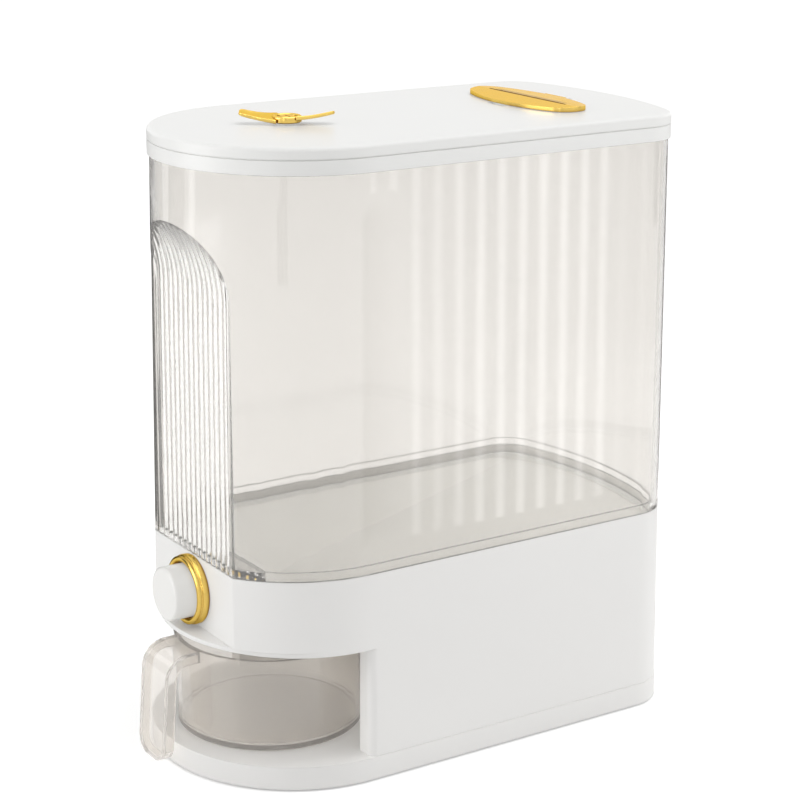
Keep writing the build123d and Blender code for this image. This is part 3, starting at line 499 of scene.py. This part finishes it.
class DISPENSER_OT_button(bpy.types.Operator):
    """Push button with its gold bezel, holder, rod and spring"""

    bl_idname = "dispenser.button"
    bl_label = "Push button"

    # The bezel, in millimetres. Its places are distances from its axis or its rim, and depths from its front
    ring_width = 3.9
    crown_radius = 1.9
    crown_depth = 2.3
    crown_end = 3.6
    groove = ((0.65, 1.9), (0.85, 2.5), (0.6, 3.0), (0.2, 3.2))
    flange = (3.7, 7.0)
    flange_corner = (0.3, 0.5)
    sleeve_wall = 1.3

    # The spring shortens by the button's travel, towards its seat at the back
    # The spring, as a rounded copy with a mesh of its own
    def spring(self):
        coil = rounded_copy("return_spring", "spring_coil", "base", 0.0)
        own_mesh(coil)

    # A rolled crown, a groove outside it, a flange against the housing and a sleeve behind
    def bezel(self):
        low, high = node_box("button_bezel")
        depth = (high.y - low.y) / MM
        outer = (high.x - low.x) / 2 / MM
        inner = outer - self.ring_width
        sleeve = inner + self.sleeve_wall
        crown = (inner + self.crown_radius, self.crown_depth)
        front, back = self.flange
        inset, rise = self.flange_corner
        outline = [(inner, depth), (inner, self.crown_end)]
        outline += round_points(crown, self.crown_radius, start=180, end=318, count=12)
        outline += [(outer - inward, down) for inward, down in self.groove]
        outline += [(outer, front), (outer, back - rise), (outer - inset, back)]
        outline += [(sleeve, back), (sleeve, depth)]
        centre = ((low.x + high.x) / 2, low.y, (low.z + high.z) / 2)
        ring = turned_ring("bezel_ring", outline, centre, (0.0, 1.0, 0.0), steps=128)
        smooth_faces(ring, SMOOTH_NEW)
        take_over(ring, "button_bezel", "base")
        # Gold pieces are left out of diffuse light, or they would tint the white pieces beside them yellow
        ring.visible_diffuse = False

    def execute(self, context):
        finish_nodes("button_holder", "button_cap", "push_rod", "rod_clip")
        self.spring()
        self.bezel()
        return {"FINISHED"}


class DISPENSER_OT_lid(bpy.types.Operator):
    """Lid: cover, frame, gasket, inner tray and screws"""

    bl_idname = "dispenser.lid"
    bl_label = "Lid"

    def execute(self, context):
        finish_nodes("lid_frame", "lid_gasket", "lid_cover", "lid_inner", "lid_screws")
        return {"FINISHED"}


class DISPENSER_OT_knob(bpy.types.Operator):
    """Wing knob with its screw, shaft, washer and vent shutter"""

    bl_idname = "dispenser.knob"
    bl_label = "Wing knob"

    # Stations along a wing, in millimetres: place, half width, thickness, rise
    stations = ((5.0, 7.2, 2.2, 0.0), (8.0, 6.6, 2.1, 0.25), (11.5, 5.7, 2.0, 0.7), (15.0, 5.0, 2.0, 1.25),
                (18.5, 4.6, 2.0, 1.95), (21.5, 4.4, 2.0, 2.65), (23.6, 3.9, 2.0, 3.2), (24.9, 2.4, 1.7, 3.5))
    # In millimetres: the underside's height over the lid, the rolled edges' radius, the depth of the hollow
    # between them, and its start
    underside = 0.7
    rolled_edge = 0.55
    dish_depth = 0.6
    dish_start = 8.0
    # In degrees: how far a wing is turned from X and tilted, and the edges of its block that are rolled
    wing_turn = 56.9
    wing_tilt = -8.0
    wing_sharp = 50.0
    # The hub's outline, in millimetres: bore, wall, the middle and radius of its rolled rim, and the recess
    hub_bore = 1.95
    hub_wall = ((7.3, 0.0), (7.8, 0.4), (7.8, 2.3))
    hub_rim = ((6.7, 2.5), 1.1)
    hub_recess = ((5.2, 2.35), (4.6, 2.2))

    # Subdivides the edges of a unit block, in edit mode, that run from end to end along an axis
    def cut_along(self, piece, axis, cuts):
        bpy.ops.mesh.select_all(action="DESELECT")
        shape = bmesh.from_edit_mesh(piece.data)
        for edge in shape.edges:
            first, second = edge.verts
            edge.select = abs(first.co[axis] - second.co[axis]) > 0.5
        bmesh.update_edit_mesh(piece.data)
        bpy.ops.mesh.subdivide(number_cuts=cuts)

    # A unit block subdivided along its length, with each station set to its own width, thickness and rise.
    # Its sides lie at 0.5, and the rows of points that are dished at 0.25 or less
    def wing(self, name, centre, half_turn):
        bpy.ops.object.select_all(action="DESELECT")
        bpy.ops.mesh.primitive_cube_add(size=1.0, location=(0.0, 0.0, 0.0))
        piece = bpy.context.object
        piece.name = name
        last = len(self.stations) - 1
        bpy.ops.object.mode_set(mode="EDIT")
        bpy.ops.mesh.select_mode(type="EDGE")
        self.cut_along(piece, axis=0, cuts=last - 1)
        self.cut_along(piece, axis=1, cuts=3)
        bpy.ops.object.mode_set(mode="OBJECT")
        for vertex in piece.data.vertices:
            x, y, z = vertex.co
            along, half, thick, rise = self.stations[round((x + 0.5) * last)]
            dished = abs(y) < 0.4 and z > 0 and along > self.dish_start
            height = rise + self.underside + (z + 0.5) * thick - (self.dish_depth if dished else 0.0)
            vertex.co = Vector((along, y * 2 * half, height)) * MM
        apply_modifier(piece, "rolled_edge", "BEVEL", {
            "width": self.rolled_edge * MM, "segments": 3, "limit_method": "ANGLE",
            "angle_limit": math.radians(self.wing_sharp)})
        apply_modifier(piece, "flow", "SUBSURF", {"levels": 2, "render_levels": 2})
        tilt = Matrix.Rotation(math.radians(self.wing_tilt), 4, "X")
        turn = Matrix.Rotation(math.radians(self.wing_turn) + half_turn, 4, "Z")
        piece.data.transform(Matrix.Translation(centre) @ turn @ tilt)
        return piece

    def execute(self, context):
        finish_nodes("knob_screw", "knob_shaft", "knob_washer", "vent_shutter")
        low, high = node_box("knob_shaft")
        centre = Vector(((low.x + high.x) / 2, (low.y + high.y) / 2, high.z))
        outline = [(self.hub_bore, 0.0), *self.hub_wall]
        outline += round_points(*self.hub_rim, start=0, end=180, count=10)
        outline += [*self.hub_recess, (self.hub_bore, self.hub_recess[-1][1])]
        knob = turned_ring("knob_wings", outline, centre, (0.0, 0.0, 1.0), steps=96)
        wings = [self.wing("wing_%d" % i, centre, i * math.pi) for i in range(2)]
        select_only(knob, *wings)
        bpy.ops.object.join()
        smooth_faces(knob, SMOOTH_NEW)
        take_over(knob, "wing_knob", "knob")
        knob.visible_diffuse = False
        return {"FINISHED"}


class DISPENSER_OT_flap(bpy.types.Operator):
    """Moisture box under its gold flap"""

    bl_idname = "dispenser.flap"
    bl_label = "Moisture box and flap"

    # Painted shade, brown, along the crease, in millimetres: half its length, the share of that over which
    # it fades, how far behind the middle it lies, and half the widths of its full and its faded part
    crease_shade_length = 36.0
    crease_shade_fade = 0.3
    crease_shade_shift = 1.9
    crease_shade_width = (1.6, 4.0)

    def execute(self, context):
        finish_nodes("moisture_box", "hinge_pin")
        corner = context.scene.dispenser_sizes.trim_edge
        plate = rounded_copy("moisture_flap", "flap_plate", "flap", corner)
        low, high = node_box("moisture_box")
        middle = (low + high) / 2
        length = self.crease_shade_length * MM
        near, far = self.crease_shade_width
        # Bands across X and Y where the painted crease shade lies
        bands = ((middle.x, length * (1.0 - self.crease_shade_fade), length),
                 (middle.y + self.crease_shade_shift * MM, near * MM, far * MM))
        gold = context.scene.dispenser_colours.gold[:]
        paint(plate, plated_gold("vacuum_plated_gold_creased", gold, corner, bands))
        plate.visible_diffuse = False
        return {"FINISHED"}


class DISPENSER_OT_cup(bpy.types.Operator):
    """Clear measuring cup with its channel handle"""

    bl_idname = "dispenser.cup"
    bl_label = "Measuring cup"

    def execute(self, context):
        cup = rounded_copy("measuring_cup", "cup_shell", "cup", context.scene.dispenser_sizes.clear_edge)
        cup.visible_shadow = False
        return {"FINISHED"}


# The turn at which a lamp's or a card's own Z axis points away from a target
def facing(place, target):
    return (Vector(place) - Vector(target)).to_track_quat("Z", "Y").to_euler()


# A lamp with a square soft box that faces a point
def soft_box(name, place, target, size, power):
    bpy.ops.object.light_add(type="AREA", location=place, rotation=facing(place, target))
    lamp = bpy.context.object
    lamp.name = name
    lamp.data.shape = "SQUARE"
    lamp.data.size = size
    lamp.data.energy = power
    lamp.visible_camera = False
    lamp.visible_transmission = False
    return lamp


# A board that shows in the object's reflections only and, with through_clear, through its clear walls too.
# Its material is still empty, and its own coordinates run from -0.5 to 0.5
def board(name, place, target, width, height, through_clear=False):
    bpy.ops.object.select_all(action="DESELECT")
    bpy.ops.mesh.primitive_plane_add(size=1.0, location=place, rotation=facing(place, target))
    sheet = bpy.context.object
    sheet.name = name
    sheet.scale = (width, height, 1.0)
    sheet.visible_camera = False
    sheet.visible_diffuse = False
    sheet.visible_transmission = through_clear
    sheet.visible_shadow = False
    material, tree = new_material(name + "_board")
    paint(sheet, material)
    return tree


def even_card(name, place, target, width, height, level, through_clear=False):
    tree = board(name, place, target, width, height, through_clear)
    finish_material(tree, add_node(tree, "ShaderNodeEmission", {"Color": WHITE, "Strength": level}))


# A card that is as bright as the studio at its edges and fades to its own level in the middle
def fading_card(name, place, target, width, height, level):
    tree = board(name, place, target, width, height)
    share = crossing(tree, band_x=(0.0, 0.12, 0.5), band_y=(0.0, 0.42, 0.5))
    settings = {"operation": "MULTIPLY_ADD", 1: level - 1.0, 2: 1.0}
    strength = add_node(tree, "ShaderNodeMath", settings, {0: share}).outputs[0]
    finish_material(tree, add_node(tree, "ShaderNodeEmission", {"Color": WHITE}, {"Strength": strength}))


# How strong the strip lamps are from one side of their card to the other, as (place, strength) pairs
STRIPS = ((0.03, 0.0), (0.08, 0.5), (0.20, 0.6), (0.26, 0.5), (0.33, 0.75), (0.39, 0.95), (0.63, 1.0),
          (0.75, 0.75), (0.80, 0.15), (0.86, 0.1), (0.90, 0.5), (0.96, 0.0))
STRIP_SPACING = 18.2 * MM
STRIP_START = 0.3617  # from the card's middle to the middle of a strip, as a share of the card's width
STRIP_EDGE = -0.3  # height of the sine wave at which a strip's light fades out


# A rack of upright strip lamps that the clear walls mirror as soft streaks
def streak_card(name, place, target, width, height, strength):
    tree = board(name, place, target, width, height)
    place = add_node(tree, "ShaderNodeTexCoord").outputs["Object"]
    across = add_node(tree, "ShaderNodeSeparateXYZ", links={"Vector": place}).outputs["X"]
    share = add_node(tree, "ShaderNodeMapRange", {"From Min": -0.5, "From Max": 0.5}, {"Value": across})
    ramp = add_node(tree, "ShaderNodeValToRGB", links={"Fac": share.outputs["Result"]},
                    stops=[(where, (level, level, level)) for where, level in STRIPS])
    turns = 2 * math.pi / (STRIP_SPACING / width)
    phase = add_node(tree, "ShaderNodeMath", {
        "operation": "MULTIPLY_ADD", 1: turns, 2: turns * STRIP_START + math.pi / 2}, {0: across})
    wave = add_node(tree, "ShaderNodeMath", {"operation": "SINE"}, {0: phase.outputs[0]})
    settings = {"From Min": STRIP_EDGE, "From Max": 1.0, "To Max": strength}
    strip = add_node(tree, "ShaderNodeMapRange", settings, {"Value": wave.outputs[0]})
    light = add_node(tree, "ShaderNodeEmission",
                     links={"Color": ramp.outputs["Color"], "Strength": strip.outputs["Result"]})
    clear = add_node(tree, "ShaderNodeBsdfTransparent", {"Color": WHITE})
    both = {0: light.outputs[0], 1: clear.outputs[0]}
    finish_material(tree, add_node(tree, "ShaderNodeAddShader", links=both))


# Each card's maker, name, place, target, width, height and brightness, where 1 is the studio's white. The
# first one shows through clear walls too
CARDS = (
    (even_card, "side_card_right", (0.80, 1.30, 0.45), (0.05, 0.1, 0.2), 0.5, 1.0, 0.2, True),
    (even_card, "highlight_card", (0.74, -1.02, 0.40), (0.0, -0.13, 0.1), 0.05, 0.45, 9.0),
    (streak_card, "streak_card", (0.40, 0.27, 0.16), (0.0, 0.27, 0.16), 0.30, 0.34, 2.3),
    (even_card, "dark_card_left", (-0.62, -0.72, 0.26), (0.0, -0.15, 0.1), 0.36, 0.52, 0.03),
    (even_card, "dark_card_right", (0.98, -0.86, 0.30), (0.05, -0.1, 0.1), 0.16, 0.6, 0.05),
    (even_card, "grey_card_left", (-0.36, -0.08, 0.155), (0.0, -0.08, 0.155), 0.42, 0.31, 0.08),
    (fading_card, "dim_card_side", (0.395, 0.115, 0.125), (0.0, 0.115, 0.125), 0.11, 0.25, 0.1),
    (fading_card, "band_card_front", (-0.13, -0.42, 0.16), (-0.04, -0.15, 0.16), 0.07, 0.28, 2.4),
    (even_card, "grey_card_behind", (-0.10, 0.47, 0.155), (-0.10, 0.0, 0.155), 0.60, 0.31, 0.25),
)

# The camera that shows the object as the photograph does
CAMERA_PLACE = Vector((0.9713, -0.6278, 0.5203))
CAMERA_AZIMUTH = math.radians(56.8897)
CAMERA_HEIGHT = math.radians(14.8392)
CAMERA_ROLL = math.radians(0.4068)
CAMERA_LENS = {"lens": 97.9, "sensor_width": 36.0, "shift_y": -0.07, "clip_start": 0.05, "clip_end": 100.0}


# 1 for light rays of the named kinds and 0 for all others
def rays(tree, *kinds):
    path = add_node(tree, "ShaderNodeLightPath").outputs
    seen = path[kinds[0]]
    for kind in kinds[1:]:
        both = {0: seen, 1: path[kind]}
        seen = add_node(tree, "ShaderNodeMath", {"operation": "MAXIMUM"}, both).outputs[0]
    return seen


class DISPENSER_OT_stage(bpy.types.Operator):
    """Pale floor, soft studio light and the camera"""

    bl_idname = "dispenser.stage"
    bl_label = "Studio"

    # In degrees: turns that lean the overhead lamp to the back and to the right, and the width of its light
    sun_lean = (-14.0, 10.0, 0.0)
    sun_width = 70.0
    # The floor's width in metres and how much brighter than lit the camera sees it
    floor_width = 60.0
    floor_lift = 0.3

    # A matt floor just under the feet, lifted to white for the camera so that it merges with the background
    def floor(self, colour):
        bpy.ops.object.select_all(action="DESELECT")
        bpy.ops.mesh.primitive_plane_add(size=self.floor_width, location=(0.0, 0.0, -0.2 * MM))
        floor = bpy.context.object
        floor.name = "studio_floor"
        material, tree = new_material("matt_white_studio_floor")
        matt = add_node(tree, "ShaderNodeBsdfDiffuse", {"Color": (*colour, 1.0), "Roughness": 0.3})
        seen = rays(tree, "Is Camera Ray", "Is Transmission Ray")
        settings = {"operation": "MULTIPLY", 1: self.floor_lift}
        lift = add_node(tree, "ShaderNodeMath", settings, {0: seen})
        glow = add_node(tree, "ShaderNodeEmission", {"Color": WHITE}, {"Strength": lift.outputs[0]})
        both = {0: matt.outputs[0], 1: glow.outputs[0]}
        finish_material(tree, add_node(tree, "ShaderNodeAddShader", links=both))
        paint(floor, material)

    # Even light on the object, and plain white for the camera and for what mirrors or shows the studio
    def sky(self, strength):
        world = bpy.data.worlds.new("even_white_studio")
        world.use_nodes = True
        tree = world.node_tree
        tree.nodes.clear()
        seen = rays(tree, "Is Camera Ray", "Is Glossy Ray", "Is Transmission Ray")
        light = add_node(tree, "ShaderNodeBackground", {"Color": WHITE, "Strength": strength})
        white = add_node(tree, "ShaderNodeBackground", {"Color": WHITE, "Strength": 1.0})
        both = {"Fac": seen, 1: light.outputs[0], 2: white.outputs[0]}
        mixed = add_node(tree, "ShaderNodeMixShader", links=both)
        add_node(tree, "ShaderNodeOutputWorld", links={"Surface": mixed.outputs[0]})
        bpy.context.scene.world = world

    # A wide overhead lamp and two soft boxes
    def lamps(self, studio):
        lean = [math.radians(angle) for angle in self.sun_lean]
        bpy.ops.object.light_add(type="SUN", location=(0.0, 0.0, 2.0), rotation=lean)
        lamp = bpy.context.object
        lamp.name = "soft_overhead_lamp"
        lamp.data.energy = studio.sun
        lamp.data.angle = math.radians(self.sun_width)
        soft_box("front_soft_box", (-0.42, -1.55, 0.50), (0.0, -0.12, 0.10), 0.9, studio.front)
        back = soft_box("back_soft_box", (0.50, 0.80, 0.36), (0.08, 0.12, 0.16), 0.4, studio.back)
        back.visible_glossy = False

    def camera(self):
        back = Vector((math.sin(CAMERA_AZIMUTH) * math.cos(CAMERA_HEIGHT),
                       -math.cos(CAMERA_AZIMUTH) * math.cos(CAMERA_HEIGHT), math.sin(CAMERA_HEIGHT)))
        right = Vector((math.cos(CAMERA_AZIMUTH), math.sin(CAMERA_AZIMUTH), 0.0))
        up = back.cross(right)
        rolled_right = right * math.cos(CAMERA_ROLL) + up * math.sin(CAMERA_ROLL)
        rolled_up = up * math.cos(CAMERA_ROLL) - right * math.sin(CAMERA_ROLL)
        turn = Matrix((rolled_right, rolled_up, back)).transposed().to_euler()
        bpy.ops.object.camera_add(location=CAMERA_PLACE, rotation=turn)
        camera = bpy.context.object
        camera.name = "camera"
        for key, value in CAMERA_LENS.items():
            setattr(camera.data, key, value)
        bpy.context.scene.camera = camera

    def execute(self, context):
        studio = context.scene.dispenser_studio
        self.floor(studio.floor)
        self.sky(studio.sky)
        self.lamps(studio)
        for maker, *values in CARDS:
            maker(*values)
        self.camera()
        context.scene.view_settings.view_transform = "Standard"
        return {"FINISHED"}


GROUPS = {
    "dispenser_sizes": DispenserSizes,
    "dispenser_colours": DispenserColours,
    "dispenser_studio": DispenserStudio,
}
PIECES = (
    DISPENSER_OT_stage, DISPENSER_OT_base, DISPENSER_OT_housing, DISPENSER_OT_funnel, DISPENSER_OT_hopper,
    DISPENSER_OT_gate, DISPENSER_OT_button, DISPENSER_OT_lid, DISPENSER_OT_knob, DISPENSER_OT_flap,
    DISPENSER_OT_cup,
)


class DISPENSER_PT_panel(bpy.types.Panel):
    """Pieces and settings of the dispenser"""

    bl_idname = "DISPENSER_PT_panel"
    bl_label = "Grain Dispenser"
    bl_space_type = "VIEW_3D"
    bl_region_type = "UI"
    bl_category = "Dispenser"

    def draw(self, context):
        column = self.layout.column()
        for operator in PIECES:
            column.operator(operator.bl_idname)
        for name in GROUPS:
            group = getattr(context.scene, name)
            for key in group.bl_rna.properties.keys():
                if key not in ("rna_type", "name"):
                    column.prop(group, key)


CLASSES = (*GROUPS.values(), *PIECES, DISPENSER_PT_panel)


def register():
    for kind in CLASSES:
        bpy.utils.register_class(kind)
    for name, group in GROUPS.items():
        setattr(bpy.types.Scene, name, bpy.props.PointerProperty(type=group))


def unregister():
    for name in GROUPS:
        delattr(bpy.types.Scene, name)
    for kind in reversed(CLASSES):
        bpy.utils.unregister_class(kind)


def main():
    register()
    bpy.ops.dispenser.stage()
    bpy.ops.dispenser.base()
    bpy.ops.dispenser.housing()
    bpy.ops.dispenser.funnel()
    bpy.ops.dispenser.hopper()
    bpy.ops.dispenser.gate()
    bpy.ops.dispenser.button()
    bpy.ops.dispenser.lid()
    bpy.ops.dispenser.knob()
    bpy.ops.dispenser.flap()
    bpy.ops.dispenser.cup()


if __name__ == "__main__":
    main()
